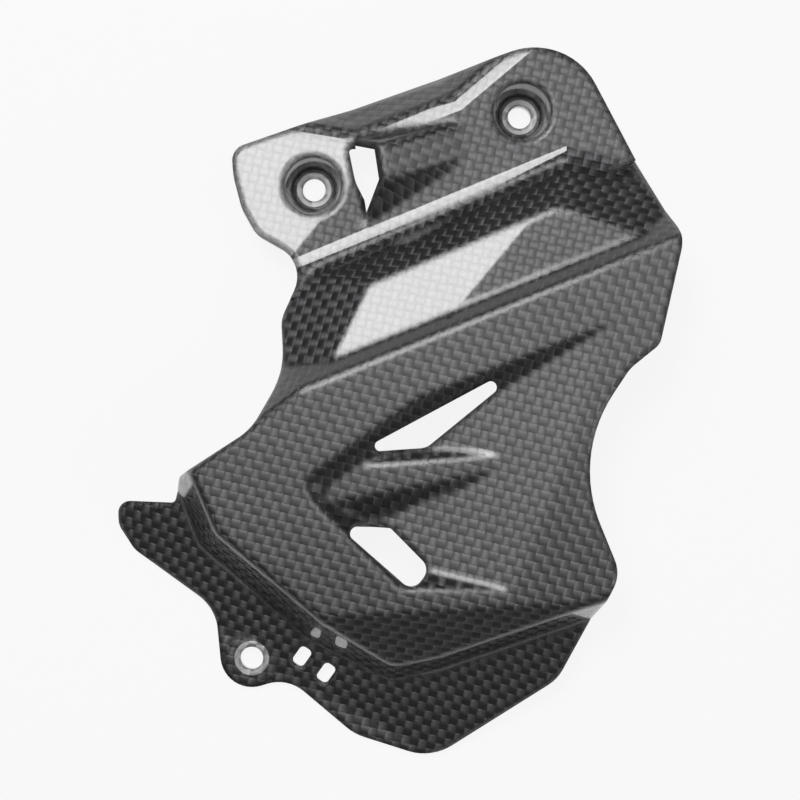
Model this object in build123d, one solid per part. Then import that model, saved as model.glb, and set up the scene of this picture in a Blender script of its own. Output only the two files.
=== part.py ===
from build123d import *
import os
from math import cos, hypot, radians, sin, tan

# Motorcycle sprocket cover: one moulded carbon laminate shell, seen from its front.
# Millimetres. X runs right and Y up across the front, Z comes out of it. The bottoms
# of the bolt cups and the lower rim lie on Z = 0, where the engine would be.

# laminate
WALL = 1.8

# outline of the whole cover: x, y and the radius that rounds each corner
OUTLINE = [
    (-47.0, 70.0, 4.5),
    (46.5, 102.0, 19.0),
    (76.5, 44.0, 11.0),
    (70.0, 15.0, 4.5),
    (62.0, 8.5, 11.0),
    (46.5, -15.0, 38.0),
    (59.5, -47.0, 9.0),
    (44.0, -78.0, 12.0),
    (9.0, -102.0, 14.0),
    (-13.0, -95.0, 15.0),
    (-32.0, -79.0, 11.0),
    (-50.0, -84.5, 9.0),
    (-52.5, -59.0, 13.0),
    (-75.5, -42.5, 7.0),
    (-80.0, -35.5, 5.5),
    (-80.0, -28.5, 3.5),
    (-63.5, -29.0, 1.5),
    (-61.5, -21.5, 3.5),
    (-40.5, -8.0, 16.0),
    (-32.0, 7.5, 24.0),
    (-33.0, 22.5, 9.0),
    (-26.0, 38.0, 9.0),
    (-40.0, 46.0, 7.0),
    (-44.0, 53.0, 13.0),
    (-46.5, 62.5, 22.0),
]

# the flat facets of the front: a point on each, then its rise along X and along Y
BOLT_PLATE = (-24.0, 59.0, 14.2, 0.050, -0.030)
RISER = (9.5, 39.0, 22.9, 0.300, -0.620)
RISER_RIGHT = (49.5, 51.0, 25.1, -0.070, -0.534)
WINDOW = (9.5, 39.0, 22.9, 0.086, -0.100)
PANEL = (11.0, 19.0, 29.0, 0.042, 0.010)
SKIRT = (0.0, -78.0, 6.0, 0.130, 0.240)
TONGUE = (27.0, -19.0, 26.9, 0.055, 0.0)
HOOD_CROWN = (-4.0, 66.0, 20.2, -0.183, -0.051)
RIM = (-50.0, 0.0, 4.0, 0.100, 0.0)
FLANGE_TOP = 5.5

# the slanted facets, by the tilt with which each falls away from its upper edge
TOP_CHAMFER_TILT = 42.0
NECK_TILT = 25.0
STEP_TILT = 47.6
PANEL_FOOT_TILT = 28.0
FLANGE_TILT = 15.0
TONGUE_LOW_TILT = 30.0
TONGUE_HIGH_TILT = 45.0
HOOD_HIGH_TILT = 60.0
HOOD_LOW_TILT = 33.0
MOUTH_LEAN = 40.0

# those upper edges, in plan; each facet falls away on the left of its line
WINDOW_SIDE = ((-17.5, 13.5), (-9.5, 29.5))
PANEL_TOP = ((-19.0, 6.2), (55.5, 36.2))
PANEL_CORNER = ((-45.1, -11.1), (-30.3, 0.5))
PANEL_FOOT = ((52.0, -55.0), (-15.0, -59.0))
TOP_CREASE = ((-12.7, 74.8), (14.4, 84.9))
TOP_CREASE_RIGHT = ((14.4, 84.9), (26.9, 95.3))
TOP_CREASE_END = ((-24.4, 76.5), (-12.7, 74.8))
FLANGE_LINE = ((-37.3, -58.0), (-60.5, -36.5))
TONGUE_LOW = ((26.2, -19.6), (-10.1, -26.6))
TONGUE_HIGH = ((2.2, -16.9), (20.2, -15.6))
HOOD_HIGH = ((-4.1, 71.0), (17.6, 77.3))
HOOD_LOW = ((14.3, 65.5), (-2.9, 61.0))
PLATE_FOOT = ((-26.0, 34.0), (51.5, 65.0))
LOW_LINE = ((-63.5, -27.0), (52.0, -62.0))
MOUTH_LINE = ((-9.4, 52.7), (-13.0, 74.0))
OVERLAP = 4.0

# the side wall that drops from the panel to the flange and the skirt
WALL_FOOT = [
    (-66.5, -20.0),
    (-57.5, -41.5),
    (-26.5, -68.0),
    (-3.0, -80.0),
    (12.0, -77.5),
    (120.0, -47.0),
    (120.0, 120.0),
    (-66.5, 120.0),
]
WALL_FOOT_Z = 4.0
WALL_TOP_Z = 40.0
WALL_BASE_Z = -60.0
WALL_DRAFT = 22.0
WALL_CORNER_R = 10.0
WALL_FAR = 50.0
WALL_TOP_MIDDLE = (0.0, -15.0)

# the arrow-shaped pocket: a line along the top of each side, in plan, and its tilt;
# the floor comes up to the panel along its own line and bends towards the level of
# the panel there, to which it would come a little above it
POCKET_HIGH = ((58.7, 21.3), (15.0, 4.4))
POCKET_NOSE = ((-8.9, -9.3), (-22.4, -18.9))
POCKET_LEFT = ((-25.2, -26.0), (-7.2, -44.0))
POCKET_FOOT = ((3.0, -51.5), (31.4, -51.7))
POCKET_FLOOR = ((30.6, -51.4), (57.9, 21.6))
POCKET_HIGH_TILT = 30.0
POCKET_NOSE_TILT = 30.0
POCKET_LEFT_TILT = 45.0
POCKET_FOOT_TILT = 35.0
POCKET_FLOOR_TILT = 10.8
POCKET_FLOOR_RISE = 0.4

# vents cut through the laminate: x, y and radius of each corner
HOOD_VENT = [
    (-14.3, 69.7, 0.8),
    (-12.4, 60.5, 12.0),
    (-8.9, 53.6, 0.5),
    (-7.4, 61.5, 6.0),
    (-10.2, 69.8, 1.8),
]
UPPER_VENT = [
    (-12.0, -14.4, 1.45),
    (7.2, -13.1, 5.0),
    (39.3, 13.2, 1.7),
]
LOWER_VENT = [
    (-16.9, -34.3, 1.8),
    (3.4, -52.1, 3.4),
    (8.3, -46.0, 3.4),
    (-2.6, -35.1, 1.5),
]

# bolt holes
BOLT_HOLE_D = 6.5
CUP_RIM_R = 8.5
CUP_SEAT_R = 6.2
CUP_DEPTH = 12.0
LAND_R = 4.9
LAND_H = 0.3
HOLE_LEFT = (-24.4, 59.7)
HOLE_RIGHT = (33.8, 80.0)
HOLE_LOW = (-42.1, -73.3)
LOW_BOSS_R = 7.6
LOW_BOSS_H = 2.6

# tie slots beside the low hole
SLOT_W = 3.7
SLOT_L = 5.7
SLOT_R = 1.3
SLOT_CENTRES = [(-27.8, -72.7), (-21.0, -77.4)]
SLOT_TURN = 55.4

# how far each crease of the front is rounded: ridges first, then valleys
TOP_EDGE_R = 3.0
RISER_BEND_R = 20.0
RISER_NECK_R = 5.0
WINDOW_EDGE_R = 2.4
PANEL_EDGE_R = 2.4
PANEL_FOOT_R = 4.0
TONGUE_LOW_R = 5.0
TONGUE_HIGH_R = 2.0
FLOOR_HINGE_R = 60.0
HOOD_HIGH_R = 3.0
HOOD_LOW_R = 5.0
TOP_BEND_R = 12.0
TOP_END_R = 6.0
RISER_FOOT_R = 5.0
STEP_FOOT_R = 1.5
HOOD_FOOT_R = 2.0
POCKET_HIGH_R = 40.0
POCKET_NOSE_R = 8.0
POCKET_LEFT_R = 4.0
TONGUE_FOOT_R = 3.0
FLOOR_EDGE_R = 1.5

# a round smaller than this is left out on the inside of a ridge
LEAST_R = 0.3

# an edge lies on a facet when these shares of its length are this near to it
SHARES = (0.05, 0.35, 0.5, 0.8, 0.95)
NEAR = 0.001

# parts of the front are kept clear of each other by these lines, in plan
HOOD_LIMIT = ((14.4, 84.6), (-12.7, 74.5))
LOWLAND_LIMIT = ((90.0, -62.0), (-90.0, 10.0))

BIG = 400.0


def height(facet, x, y):
    x0, y0, z0, rise_x, rise_y = facet
    return z0 + rise_x * (x - x0) + rise_y * (y - y0)


def on(facet, point):
    return (point[0], point[1], height(facet, *point))


def falling(facet, line, tilt):
    """A facet through a line of another that falls away on the line's left."""
    start, end = Vector(*on(facet, line[0])), Vector(*on(facet, line[1]))
    along = (end - start).normalized()
    left = Vector(-along.Y, along.X, 0).normalized()
    fall = left * cos(radians(tilt)) - Vector(0, 0, sin(radians(tilt)))
    normal = along.cross(fall)
    return (start.X, start.Y, start.Z, -normal.X / normal.Z, -normal.Y / normal.Z)


def lying_on(facet, drop):
    """The plane of a facet, lowered by drop at right angles to it."""
    x, y, z, rise_x, rise_y = facet
    normal = Vector(-rise_x, -rise_y, 1).normalized()
    return Plane(origin=Vector(x, y, z) - normal * drop, z_dir=normal)


def below(facet, drop=0.0):
    block = Box(BIG, BIG, BIG, align=(Align.CENTER, Align.CENTER, Align.MAX))
    return lying_on(facet, drop) * block


def above(facet, drop=0.0):
    block = Box(BIG, BIG, BIG, align=(Align.CENTER, Align.CENTER, Align.MIN))
    return lying_on(facet, drop) * block


def left_of(line, shift=0.0):
    """Everything on the left of a line in plan, moved to the right by shift."""
    (x0, y0), (x1, y1) = line
    length = hypot(x1 - x0, y1 - y0)
    right = Vector((y1 - y0) / length, (x0 - x1) / length, 0)
    side = Plane(origin=Vector(x0, y0, 0) + right * shift, z_dir=right)
    return side * Box(BIG, BIG, BIG, align=(Align.CENTER, Align.CENTER, Align.MAX))


def rounded(corners):
    points = [(x, y) for x, y, radius in corners]
    radii = [radius for x, y, radius in corners]
    return make_face(FilletPolyline(*points, radius=radii, close=True))


def through(face):
    return Pos(0, 0, -BIG / 4) * extrude(face, amount=BIG / 2)


neck = falling(WINDOW, WINDOW_SIDE, NECK_TILT)
step = falling(PANEL, PANEL_TOP, STEP_TILT)
corner = falling(PANEL, PANEL_CORNER, STEP_TILT)
panel_foot = falling(PANEL, PANEL_FOOT, PANEL_FOOT_TILT)
top_chamfer = falling(BOLT_PLATE, TOP_CREASE, TOP_CHAMFER_TILT)
top_chamfer_right = falling(BOLT_PLATE, TOP_CREASE_RIGHT, TOP_CHAMFER_TILT)
top_chamfer_end = falling(BOLT_PLATE, TOP_CREASE_END, TOP_CHAMFER_TILT)
flange = falling((0.0, 0.0, FLANGE_TOP, 0.0, 0.0), FLANGE_LINE, FLANGE_TILT)
flat_rim = (0.0, 0.0, WALL, 0.0, 0.0)
tongue_low = falling(TONGUE, TONGUE_LOW, TONGUE_LOW_TILT)
tongue_high = falling(TONGUE, TONGUE_HIGH, TONGUE_HIGH_TILT)
hood_high = falling(HOOD_CROWN, HOOD_HIGH, HOOD_HIGH_TILT)
hood_low = falling(HOOD_CROWN, HOOD_LOW, HOOD_LOW_TILT)
mouth = falling(BOLT_PLATE, (MOUTH_LINE[1], MOUTH_LINE[0]), -MOUTH_LEAN)
left_rim_z = height(BOLT_PLATE, *HOLE_LEFT)
right_rim_z = height(BOLT_PLATE, *HOLE_RIGHT)

pocket_high = falling(PANEL, POCKET_HIGH, POCKET_HIGH_TILT)
pocket_nose = falling(PANEL, POCKET_NOSE, POCKET_NOSE_TILT)
pocket_left = falling(PANEL, POCKET_LEFT, POCKET_LEFT_TILT)
pocket_foot = falling(PANEL, POCKET_FOOT, POCKET_FOOT_TILT)
pocket_floor = falling(PANEL, POCKET_FLOOR, POCKET_FLOOR_TILT)
floor_end = (PANEL[0], PANEL[1], PANEL[2] + POCKET_FLOOR_RISE, PANEL[3], PANEL[4])


def lies_on(edge, facet, drop):
    plane = lying_on(facet, drop)
    points = [edge @ share for share in SHARES]
    return all(abs((point - plane.origin).dot(plane.z_dir)) < NEAR for point in points)


def ridge_r(radius, drop):
    """The radius of a ridge that stands this far under the front surface."""
    return radius - drop


def valley_r(radius, drop):
    """The radius of a valley that lies this far under the front surface."""
    return radius + drop


def soften(solid, pairs, radius, drop):
    """Rounds the creases between pairs of facets, all with one radius."""
    if radius < LEAST_R:
        return solid
    creases = []
    for one, other in pairs:
        for edge in solid.edges():
            if lies_on(edge, one, drop) and lies_on(edge, other, drop):
                creases.append(edge)
    return fillet(creases, radius)


def lowland(drop):
    """Under the flange and the skirt, with the flat rim that they end in."""
    return (below(flange, drop) & below(SKIRT, drop)) + below(flat_rim, drop)


def hood(drop):
    """The ridge over the vent, cut off at its leaning mouth, on a piece of the plate."""
    ridge = below(HOOD_CROWN, drop) & below(hood_high, drop) & below(hood_low, drop)
    if not drop:
        ridge = soften(ridge, [(HOOD_CROWN, hood_high)], HOOD_HIGH_R, drop)
        ridge = soften(ridge, [(HOOD_CROWN, hood_low)], HOOD_LOW_R, drop)
    feet = [(hood_low, BOLT_PLATE), (hood_high, BOLT_PLATE), (HOOD_CROWN, BOLT_PLATE)]
    ridge = soften(below(BOLT_PLATE, drop) + ridge, feet, valley_r(HOOD_FOOT_R, drop), drop)
    return ridge & below(mouth) & left_of(HOOD_LIMIT) & left_of(PLATE_FOOT, OVERLAP)


def plate(drop):
    """Under the bolt plate, its chamfered top edge and the hood."""
    cut = above(top_chamfer, drop) & above(top_chamfer_end, drop)
    cut &= above(top_chamfer_right, drop)
    bend = [(top_chamfer, top_chamfer_right)]
    cut = soften(cut, bend, valley_r(TOP_BEND_R, drop), drop)
    end = [(top_chamfer, top_chamfer_end)]
    cut = soften(cut, end, valley_r(TOP_END_R, drop), drop)
    solid = (below(BOLT_PLATE, drop) & left_of(PLATE_FOOT, OVERLAP)) - cut
    chamfers = (top_chamfer, top_chamfer_end, top_chamfer_right)
    edges = [(BOLT_PLATE, chamfer) for chamfer in chamfers]
    return soften(solid, edges, ridge_r(TOP_EDGE_R, drop), drop) + hood(drop)


def terrace(drop):
    """Under the window between the plate and the panel, and the slope up to it."""
    solid = below(WINDOW, drop) & below(RISER, drop) & below(RISER_RIGHT, drop)
    solid &= below(neck, drop)
    solid = soften(solid, [(RISER, RISER_RIGHT)], ridge_r(RISER_BEND_R, drop), drop)
    solid = soften(solid, [(RISER, neck)], ridge_r(RISER_NECK_R, drop), drop)
    edges = [(WINDOW, RISER), (WINDOW, RISER_RIGHT), (WINDOW, neck)]
    solid = soften(solid, edges, ridge_r(WINDOW_EDGE_R, drop), drop)
    return solid & left_of(PANEL_TOP, OVERLAP)


def mesa(drop):
    """The drafted block whose sides are the walls round the panel."""
    growth = (WALL_FOOT_Z - WALL_BASE_Z) * tan(radians(WALL_DRAFT))
    growth -= drop / cos(radians(WALL_DRAFT))
    foot = offset(make_face(Polyline(*WALL_FOOT, close=True)), growth, kind=Kind.INTERSECTION)
    block = extrude(foot, amount=WALL_TOP_Z - WALL_BASE_Z, taper=WALL_DRAFT)
    upright = [edge for edge in block.edges() if abs((edge % 0.5).Z) > 0.5]
    seen = [edge for edge in upright if max((edge @ 0.5).X, (edge @ 0.5).Y) < WALL_FAR]
    return Pos(0, 0, WALL_BASE_Z) * fillet(seen, ridge_r(WALL_CORNER_R, drop))


def pocket(drop):
    """The space in the arrow-shaped pocket, over its floor and the tongue."""
    space = above(pocket_high, drop) & above(pocket_nose, drop)
    space &= above(pocket_left, drop) & above(pocket_foot, drop)
    space = soften(space, [(pocket_high, pocket_nose)], valley_r(POCKET_HIGH_R, drop), drop)
    space = soften(space, [(pocket_nose, pocket_left)], valley_r(POCKET_NOSE_R, drop), drop)
    space = soften(space, [(pocket_left, pocket_foot)], valley_r(POCKET_LEFT_R, drop), drop)
    floor = below(floor_end, drop) & below(pocket_floor, drop)
    floor = soften(floor, [(floor_end, pocket_floor)], ridge_r(FLOOR_HINGE_R, drop), drop)
    tongue = below(TONGUE, drop) & below(tongue_low, drop) & below(tongue_high, drop)
    tongue = soften(tongue, [(TONGUE, tongue_low)], ridge_r(TONGUE_LOW_R, drop), drop)
    tongue = soften(tongue, [(TONGUE, tongue_high)], ridge_r(TONGUE_HIGH_R, drop), drop)
    space = space - floor - tongue
    foot = [(tongue_low, pocket_floor)]
    space = soften(space, foot, valley_r(TONGUE_FOOT_R, drop), drop)
    edges = [(pocket_high, TONGUE), (pocket_nose, TONGUE), (pocket_left, pocket_floor),
             (pocket_high, pocket_floor), (pocket_nose, pocket_floor),
             (pocket_foot, pocket_floor)]
    return soften(space, edges, valley_r(FLOOR_EDGE_R, drop), drop)


def panel(drop):
    """Under the raised panel, its walls and the slopes at its edges."""
    solid = mesa(drop) & below(PANEL, drop) & below(step, drop) & below(corner, drop)
    solid &= below(panel_foot, drop)
    edges = [(PANEL, step), (PANEL, corner)]
    solid = soften(solid, edges, ridge_r(PANEL_EDGE_R, drop), drop)
    solid = soften(solid, [(PANEL, panel_foot)], ridge_r(PANEL_FOOT_R, drop), drop)
    wall_top = []
    for edge in solid.edges():
        middle = edge @ 0.5
        near_wall = middle.X < WALL_TOP_MIDDLE[0] and middle.Y < WALL_TOP_MIDDLE[1]
        if near_wall and lies_on(edge, PANEL, drop):
            wall_top.append(edge)
    solid = fillet(wall_top, ridge_r(PANEL_EDGE_R, drop))
    solid -= pocket(drop)
    sides = (pocket_high, pocket_nose, pocket_left, pocket_foot)
    edges = [(PANEL, one) for one in sides]
    return soften(solid, edges, ridge_r(PANEL_EDGE_R, drop), drop)


def envelope(drop):
    """The solid under the front surface, or under it less the laminate."""
    plan = rounded(OUTLINE)
    if drop:
        plan = offset(plan, amount=-drop, kind=Kind.ARC)
    front = plate(drop) + terrace(drop)
    feet = [(BOLT_PLATE, RISER), (BOLT_PLATE, RISER_RIGHT)]
    front = soften(front, feet, valley_r(RISER_FOOT_R, drop), drop) + panel(drop)
    front = soften(front, [(WINDOW, step)], valley_r(STEP_FOOT_R, drop), drop)
    front += lowland(drop) & left_of(LOWLAND_LIMIT)
    return through(plan) & front


def cup(centre, rim_z, grow, bottom):
    """A bolt cup as a solid of revolution, larger by grow, from bottom up."""
    slope = (CUP_RIM_R - CUP_SEAT_R) / CUP_DEPTH
    seat_z = rim_z - CUP_DEPTH
    low_r = CUP_SEAT_R + grow + slope * (bottom - seat_z)
    top = rim_z + grow
    high_r = CUP_SEAT_R + grow + slope * (top - seat_z)
    profile = Polyline((0, bottom), (low_r, bottom), (high_r, top), (0, top), close=True)
    solid = revolve(make_face(Plane.XZ * profile), Axis.Z)
    return Pos(centre[0], centre[1], 0) * solid


def cover():
    shell = envelope(0) - envelope(WALL)
    shell -= below(RIM) & left_of((LOW_LINE[0], LOW_LINE[1]))
    shell -= lowland(WALL) & left_of((LOW_LINE[1], LOW_LINE[0]))
    for centre, rim_z in ((HOLE_LEFT, left_rim_z), (HOLE_RIGHT, right_rim_z)):
        void = cup(centre, rim_z + 2.0, 0.0, rim_z - CUP_DEPTH)
        wall = cup(centre, rim_z, WALL, 0.0) & below(BOLT_PLATE, WALL / 2)
        shell = shell + wall - void
        land = Cylinder(LAND_R, LAND_H, align=(Align.CENTER, Align.CENTER, Align.MIN))
        shell += Pos(centre[0], centre[1], rim_z - CUP_DEPTH) * land
    base = (Align.CENTER, Align.CENTER, Align.MIN)
    shell += Pos(*HOLE_LOW, 0) * Cylinder(LOW_BOSS_R, LOW_BOSS_H, align=base)
    shell += Pos(*HOLE_LOW, LOW_BOSS_H) * Cylinder(LAND_R, LAND_H, align=base)
    for centre in (HOLE_LEFT, HOLE_RIGHT, HOLE_LOW):
        shell -= Pos(*centre, 0) * Cylinder(BOLT_HOLE_D / 2, BIG / 4)
    for vent in (HOOD_VENT, UPPER_VENT, LOWER_VENT):
        shell -= through(rounded(vent))
    for x, y in SLOT_CENTRES:
        slot = Pos(x, y) * Rot(0, 0, SLOT_TURN) * RectangleRounded(SLOT_L, SLOT_W, SLOT_R)
        shell -= through(slot)
    return shell


# the row's own origin is where the left bolt meets the engine
shell = Pos(-HOLE_LEFT[0], -HOLE_LEFT[1], 0) * cover()
print("shell", shell.volume, len(shell.faces()), len(shell.solids()), shell.is_valid)
box = shell.bounding_box()
print(box.min, box.max, shell.center())

os.makedirs("parts", exist_ok=True)
export_step(shell, "parts/cover_shell.step")
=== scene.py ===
from math import hypot, pi, radians

import bpy
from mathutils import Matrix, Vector

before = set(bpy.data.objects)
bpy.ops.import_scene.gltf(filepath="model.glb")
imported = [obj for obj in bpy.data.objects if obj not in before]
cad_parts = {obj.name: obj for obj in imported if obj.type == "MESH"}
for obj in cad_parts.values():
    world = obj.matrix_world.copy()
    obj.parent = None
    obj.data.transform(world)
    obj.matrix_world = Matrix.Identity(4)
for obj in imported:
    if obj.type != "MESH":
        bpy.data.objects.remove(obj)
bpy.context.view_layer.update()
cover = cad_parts["cover_shell"]

# The cover lies on its bolt cups, front up, and the camera looks straight down on its
# middle. Lengths are in metres. The lines and lamps below are measured from that middle.
CENTRE = (0.0244, -0.0597)
CAMERA_HEIGHT = 0.545
FRONT_HEIGHT = 0.020
VIEW_WIDTH = 0.220
SENSOR = 36.0

# the carbon cloth: the width of a tow and the turn of the weave in degrees
TOW = 0.00242
TOW_TURN = -13.0

# how high a tow rises and falls, how flat it stays between, how its sides round off, and
# how far the tows of one direction stand above the others
TOW_WAVE = 0.00013
WAVE_FLATTER = 0.25
TOW_FLANK = 0.00011
FLANK_POWER = 5.0
WARP_PROUD = 0.00003

# the filaments: noise that is long along a tow and fine across it
STREAK_ALONG = 0.25
STREAK_ACROSS = 6.0
STREAK_SCALE = 1.6
STREAK_DEPTH = 0.000006
UPWARD_SHIFT = 3.0

# how much lighter or darker one tow is than another, and a place in the noise for each direction
TOW_TONE = 0.5
ROW_SEED = (7.0, 0.0)
COLUMN_SEED = (3.0, 5.0)

# the fibre's colours, gloss and direction, and the clear coat over it
FIBRE = (0.125, 0.125, 0.130, 1.0)
FIBRE_DARK = (0.080, 0.080, 0.084, 1.0)
FIBRE_ROUGH = 0.5
FIBRE_SPREAD = 0.8
ROW_ACROSS = (0.2250, 0.9744, 0.0)
COLUMN_ACROSS = (0.9744, -0.2250, 0.0)
COAT_IOR = 1.6
COAT_ROUGH = 0.02

# the reach within which rims and creases look rounded
EDGE_ROUND = 0.0026
EDGE_SAMPLES = 6

# where the bolt plate rolls over towards its creases: the lines, how far and how steeply
TOP_CREASES = [
    ((-0.0244, 0.0765), (-0.0127, 0.0748)),
    ((-0.0127, 0.0748), (0.0144, 0.0849)),
    ((0.0144, 0.0849), (0.0269, 0.0953)),
]
TOP_ROLL = 0.0055
TOP_ROLL_TILT = 0.227
FOOT_CREASES = [((-0.026, 0.0348), (0.036, 0.0611)), ((0.036, 0.0680), (0.060, 0.0623))]
FOOT_ROLL = 0.0055
FOOT_ROLL_TILT = 0.27

# the edges of the panel over which the cloth drapes, above and below it
HIGH_SIDES = [((-0.019, 0.0052), (0.0555, 0.0352)), ((-0.0451, -0.0121), (-0.0303, -0.0005))]
LOW_SIDES = [
    ((-0.0180, -0.0620), (-0.0490, -0.0355)),
    ((0.0030, -0.0690), (-0.0200, -0.0572)),
    ((0.0520, -0.0540), (-0.0150, -0.0580)),
]

# the panel's plane, and how far the cloth slides for each metre that a side drops from it
PANEL_UP = (-0.042, -0.010, 1.0)
PANEL_LEVEL = 0.02792
CLOTH_UP = (-0.20, 0.45, 0.0)
CLOTH_DOWN = (-0.25, -0.43, 0.0)

# the faced rings: x and y of each hole and the height of its ring, in the part's own frame,
# then the ring's middle radius, half its width and how near to its height it is looked for
LANDS = [(0.0, 0.0, 0.00246), (0.0582, 0.0203, 0.00476), (-0.0177, -0.133, 0.0029)]
LAND_MIDDLE = 0.00405
LAND_HALF = 0.00085
LAND_NEAR = 0.0002
LAND_GREY = (0.62, 0.62, 0.62, 1.0)
LAND_ROUGH = 0.55

# softboxes: x, y and z of the middle, width, depth, turn and radiance; all of them face
# straight down but the side one, which is aimed at the cover
KEY_LIGHT = (-0.2057, 0.3951, 1.0, 0.372, 0.28, 50.5, 10.5)
KEY_FOOT = (-0.1689, 0.2083, 1.0, 0.13, 0.0145, 50.5, 10.5)
BACK_LIGHT = (-0.35, 0.85, 1.0, 0.50, 0.25, 20.0, 6.0)
TOP_LIGHT = (0.025, 0.075, 1.05, 0.95, 0.75, 0.0, 1.0)
SIDE_LIGHT = (0.95, -0.35, 0.55, 0.30, 0.60, 0.0, 3.0)

# the top softbox fades between two shares of its depth, from one level to another
TOP_FADE = (0.05, 0.50, 0.25, 1.15)

# the surroundings
WHITE = (1.0, 1.0, 1.0, 1.0)
WORLD_LEVEL = 0.12
FLOOR_SIZE = 6.0
FLOOR_Z = -0.0003
FLOOR_COLOUR = (0.86, 0.86, 0.86, 1.0)
FLOOR_GLOW = 0.88


class Nodes:
    """Short calls for the nodes of one tree."""

    def __init__(self, tree):
        self.tree = tree

    def put(self, value, socket):
        if hasattr(value, "is_output"):
            self.tree.links.new(value, socket)
        else:
            socket.default_value = value

    def add(self, kind, *values, **named):
        """A node with its first sockets set in order, and others by name."""
        node = self.tree.nodes.new("ShaderNode" + kind)
        for value, socket in zip(values, node.inputs):
            self.put(value, socket)
        for name, value in named.items():
            self.put(value, node.inputs[name.replace("_", " ")])
        return node

    def maths(self, operation, *values):
        node = self.add("Math", *values)
        node.operation = operation
        return node.outputs[0]

    def furthest(self, operation, values):
        """The greatest or the least of several values."""
        found = values[0]
        for value in values[1:]:
            found = self.maths(operation, found, value)
        return found

    def vector(self, operation, *values):
        node = self.add("VectorMath", *values)
        node.operation = operation
        return node.outputs["Value" if operation in ("DOT_PRODUCT", "DISTANCE") else "Vector"]

    def scaled(self, vector, factor):
        node = self.add("VectorMath", vector)
        node.operation = "SCALE"
        self.put(factor, node.inputs["Scale"])
        return node.outputs["Vector"]

    def mix(self, factor, a, b, kind="RGBA"):
        node = self.add("Mix", factor)
        node.data_type = kind
        first = {"FLOAT": 2, "VECTOR": 4, "RGBA": 6}[kind]
        self.put(a, node.inputs[first])
        self.put(b, node.inputs[first + 1])
        return node.outputs[{"FLOAT": 0, "VECTOR": 1, "RGBA": 2}[kind]]

    def smooth(self, value, *limits):
        """A soft step between two values, and the level before and after it."""
        node = self.add("MapRange", value, *limits)
        node.interpolation_type = "SMOOTHSTEP"
        return node.outputs[0]

    def split(self, position):
        return self.add("SeparateXYZ", position).outputs

    def combine(self, *values):
        return self.add("CombineXYZ", *values).outputs[0]

    def raised(self, height, normal):
        """The normal of a surface that a height in metres lifts."""
        return self.add("Bump", Distance=1.0, Height=height, Normal=normal).outputs[0]


def new_material(name):
    material = bpy.data.materials.new(name)
    material.use_nodes = True
    material.node_tree.nodes.clear()
    return material, Nodes(material.node_tree)


def beyond(n, place, line):
    """Positive on the left of a line in plan, and in metres from it."""
    (x0, y0), (x1, y1) = line
    run = hypot(x1 - x0, y1 - y0)
    left = (-(y1 - y0) / run, (x1 - x0) / run, 0.0)
    reach = left[0] * (x0 + CENTRE[0]) + left[1] * (y0 + CENTRE[1])
    return n.maths("SUBTRACT", n.vector("DOT_PRODUCT", place, left), reach)


def draped(n, place):
    """The cloth's own flat position: it slides outwards as the surface drops away."""
    drop = n.maths("SUBTRACT", PANEL_LEVEL, n.vector("DOT_PRODUCT", place, PANEL_UP))
    drop = n.maths("MAXIMUM", drop, 0.0)
    above = n.furthest("MAXIMUM", [beyond(n, place, line) for line in HIGH_SIDES])
    below = n.furthest("MAXIMUM", [beyond(n, place, line) for line in LOW_SIDES])
    for side, way in ((above, CLOTH_UP), (below, CLOTH_DOWN)):
        here = n.maths("MULTIPLY", n.maths("GREATER_THAN", side, 0.0), drop)
        place = n.vector("ADD", place, n.scaled(way, here))
    return place


def wave(n, position, neighbour):
    """A tow's rise and fall: 1 over one neighbour, -1 under the next, flattened at both."""
    turns = n.maths("ADD", n.maths("SUBTRACT", position, 0.5), neighbour)
    swing = n.maths("COSINE", n.maths("MULTIPLY", turns, pi))
    square = n.maths("MULTIPLY", swing, swing)
    flatter = n.maths("MULTIPLY_ADD", square, -WAVE_FLATTER, 1.0 + WAVE_FLATTER)
    return n.maths("MULTIPLY", swing, flatter)


def flank(n, position):
    """How far a tow has rounded off towards its two sides: 0 at its middle, 1 at a side."""
    off = n.maths("ABSOLUTE", n.maths("SUBTRACT", n.maths("FRACT", position), 0.5))
    return n.maths("POWER", n.maths("MULTIPLY", off, 2.0), FLANK_POWER)


def woven(n, u, v, column, row):
    """Where the upward tows show, and the height of the cloth: the higher tow shows."""
    warp = n.maths("MULTIPLY_ADD", wave(n, v, column), TOW_WAVE, WARP_PROUD)
    warp = n.maths("SUBTRACT", warp, n.maths("MULTIPLY", flank(n, u), TOW_FLANK))
    weft = n.maths("MULTIPLY", wave(n, u, row), -TOW_WAVE)
    weft = n.maths("SUBTRACT", weft, n.maths("MULTIPLY", flank(n, v), TOW_FLANK))
    return n.maths("GREATER_THAN", warp, weft), n.maths("MAXIMUM", warp, weft)


def filaments(n, u, v, is_warp):
    """Streaks along whichever tow shows."""
    far_u, near_u = (n.maths("MULTIPLY", u, share) for share in (STREAK_ALONG, STREAK_ACROSS))
    far_v, near_v = (n.maths("MULTIPLY", v, share) for share in (STREAK_ALONG, STREAK_ACROSS))
    places = n.combine(far_u, near_v, 0.0), n.combine(near_u, far_v, UPWARD_SHIFT)
    weft, warp = (n.add("TexNoise", place, Scale=STREAK_SCALE).outputs[0] for place in places)
    return n.mix(is_warp, weft, warp, "FLOAT")


def fibre_colour(n, column, row, is_warp, streak):
    """Each tow is a little lighter or darker than the next."""
    seed = n.mix(is_warp, n.combine(row, *ROW_SEED), n.combine(column, *COLUMN_SEED), "VECTOR")
    chance = n.add("TexWhiteNoise", seed).outputs["Value"]
    tone = n.maths("MULTIPLY_ADD", n.maths("SUBTRACT", chance, 0.5), TOW_TONE, streak)
    return n.mix(tone, FIBRE_DARK, FIBRE)


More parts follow.
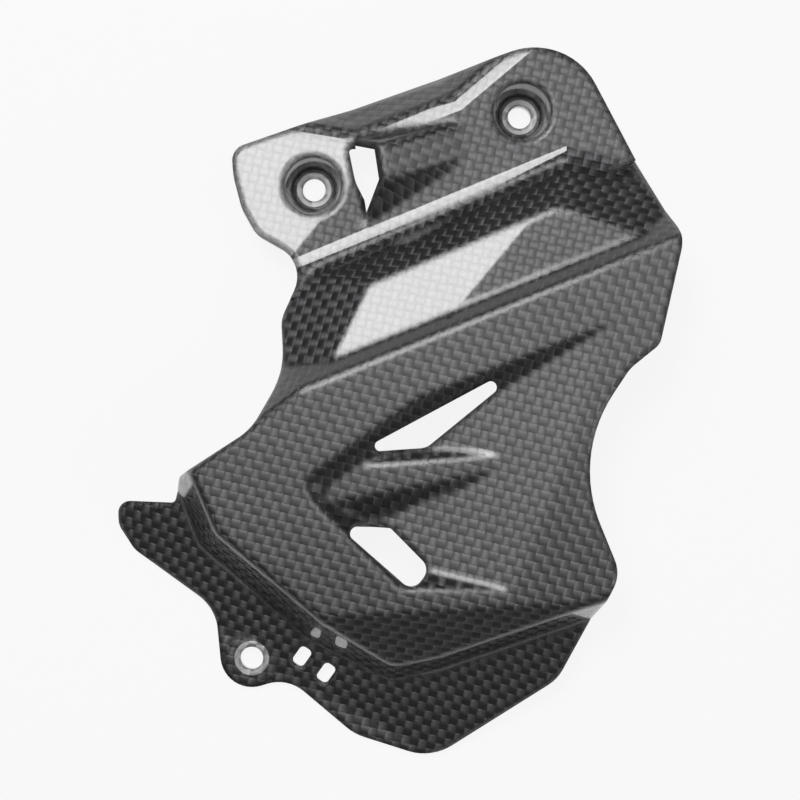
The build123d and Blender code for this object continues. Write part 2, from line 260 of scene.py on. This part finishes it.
def rolled(n, place):
    """The bolt plate rolls over gently towards its two long creases: a height."""
    top = n.furthest("MINIMUM", [beyond(n, place, line) for line in TOP_CREASES])
    foot = n.furthest("MAXIMUM", [beyond(n, place, line) for line in FOOT_CREASES])
    foot = n.maths("MULTIPLY", foot, -1.0)
    top = n.smooth(top, -TOP_ROLL, TOP_ROLL, 0.0, 1.0)
    foot = n.smooth(foot, -FOOT_ROLL, FOOT_ROLL, 0.0, 1.0)
    down = n.maths("MULTIPLY", top, -TOP_ROLL * TOP_ROLL_TILT)
    up = n.maths("MULTIPLY", foot, FOOT_ROLL * FOOT_ROLL_TILT)
    return n.maths("ADD", down, up)


def lands(n, place):
    """1 on the flat faced rings round the bolt holes, and 0 elsewhere."""
    x, y, z = n.split(place)
    rings = []
    for hole_x, hole_y, top in LANDS:
        away = n.vector("DISTANCE", n.combine(x, y, 0.0), (hole_x, hole_y, 0.0))
        on_ring = n.maths("COMPARE", away, LAND_MIDDLE, LAND_HALF)
        on_top = n.maths("COMPARE", z, top, LAND_NEAR)
        rings.append(n.maths("MULTIPLY", on_ring, on_top))
    return n.furthest("MAXIMUM", rings)


def carbon():
    """Plain woven carbon cloth, laid over the front like a skin, under a clear coat."""
    material, n = new_material("carbon_laminate")
    place = n.add("TexCoord").outputs["Object"]
    turned = n.add("VectorRotate", draped(n, place), Angle=radians(-TOW_TURN))
    turned.rotation_type = "Z_AXIS"
    u, v = n.split(n.scaled(turned.outputs[0], 1.0 / TOW))[:2]
    column, row = n.maths("FLOOR", u), n.maths("FLOOR", v)
    is_warp, height = woven(n, u, v, column, row)
    streak = filaments(n, u, v, is_warp)

    land = lands(n, place)
    coat = n.maths("SUBTRACT", 1.0, land)
    colour = n.mix(land, fibre_colour(n, column, row, is_warp, streak), LAND_GREY)
    relief = n.maths("MULTIPLY_ADD", streak, STREAK_DEPTH, height)

    # the coat lies smoothly over the rounded form, and the cloth's relief is under it
    rounded = n.add("Bevel", EDGE_ROUND)
    rounded.samples = EDGE_SAMPLES
    coat_normal = n.raised(rolled(n, place), rounded.outputs[0])
    shader = n.add(
        "BsdfPrincipled",
        Base_Color=colour,
        Metallic=1.0,
        Roughness=n.mix(land, FIBRE_ROUGH, LAND_ROUGH, "FLOAT"),
        Normal=n.raised(n.maths("MULTIPLY", relief, coat), coat_normal),
        Anisotropic=FIBRE_SPREAD,
        Tangent=n.mix(is_warp, ROW_ACROSS, COLUMN_ACROSS, "VECTOR"),
        Coat_Weight=coat,
        Coat_Roughness=COAT_ROUGH,
        Coat_IOR=COAT_IOR,
        Coat_Normal=coat_normal,
    )
    n.add("OutputMaterial", shader.outputs[0])
    return material


def floor_material():
    """A pale floor that takes shadows, and is near white to the camera and in the gloss."""
    material, n = new_material("pale_floor")
    path = n.add("LightPath").outputs
    rays = [path["Is Camera Ray"], path["Is Glossy Ray"], path["Is Transmission Ray"]]
    share = n.maths("MULTIPLY", n.furthest("MAXIMUM", rays), FLOOR_GLOW)
    diffuse = n.add("BsdfDiffuse", FLOOR_COLOUR)
    glow = n.add("Emission", WHITE, 1.0)
    both = n.add("MixShader", share, diffuse.outputs[0], glow.outputs[0])
    n.add("OutputMaterial", both.outputs[0])
    return material


def softbox(name, x, y, z, width, depth, turn, radiance):
    lamp = bpy.data.lights.new(name, "AREA")
    lamp.shape = "RECTANGLE"
    lamp.size = width
    lamp.size_y = depth
    lamp.energy = radiance * pi * width * depth
    light = bpy.data.objects.new(name, lamp)
    light.location = (CENTRE[0] + x, CENTRE[1] + y, z)
    light.rotation_euler = (0.0, 0.0, radians(turn))
    bpy.context.collection.objects.link(light)
    return light


def dimmed(lamp):
    """A softbox that falls off across its depth, in its own nodes."""
    lamp.use_nodes = True
    n = Nodes(lamp.node_tree)
    place = n.add("NewGeometry").outputs["Parametric"]
    level = n.smooth(n.split(place)[1], *TOP_FADE)
    n.put(level, lamp.node_tree.nodes["Emission"].inputs["Strength"])


camera_data = bpy.data.cameras.new("camera")
camera_data.sensor_width = SENSOR
camera_data.lens = SENSOR * (CAMERA_HEIGHT - FRONT_HEIGHT) / VIEW_WIDTH
camera = bpy.data.objects.new("camera", camera_data)
camera.location = (CENTRE[0], CENTRE[1], CAMERA_HEIGHT)
bpy.context.collection.objects.link(camera)
bpy.context.scene.camera = camera

laminate = carbon()
for slot in cover.material_slots:
    slot.material = laminate

bpy.ops.mesh.primitive_plane_add(size=FLOOR_SIZE, location=(CENTRE[0], CENTRE[1], FLOOR_Z))
floor = bpy.context.object
floor.name = "floor"
floor.data.materials.append(floor_material())

softbox("key", *KEY_LIGHT)
softbox("key_foot", *KEY_FOOT)
softbox("back", *BACK_LIGHT)
dimmed(softbox("top", *TOP_LIGHT).data)
side = softbox("side", *SIDE_LIGHT)
aim = Vector((CENTRE[0], CENTRE[1], FRONT_HEIGHT)) - side.location
side.rotation_euler = aim.to_track_quat("-Z", "Y").to_euler()

world = bpy.data.worlds.new("studio")
world.use_nodes = True
background = world.node_tree.nodes["Background"]
background.inputs["Color"].default_value = WHITE
background.inputs["Strength"].default_value = WORLD_LEVEL
bpy.context.scene.world = world
bpy.context.scene.view_settings.view_transform = "Standard"
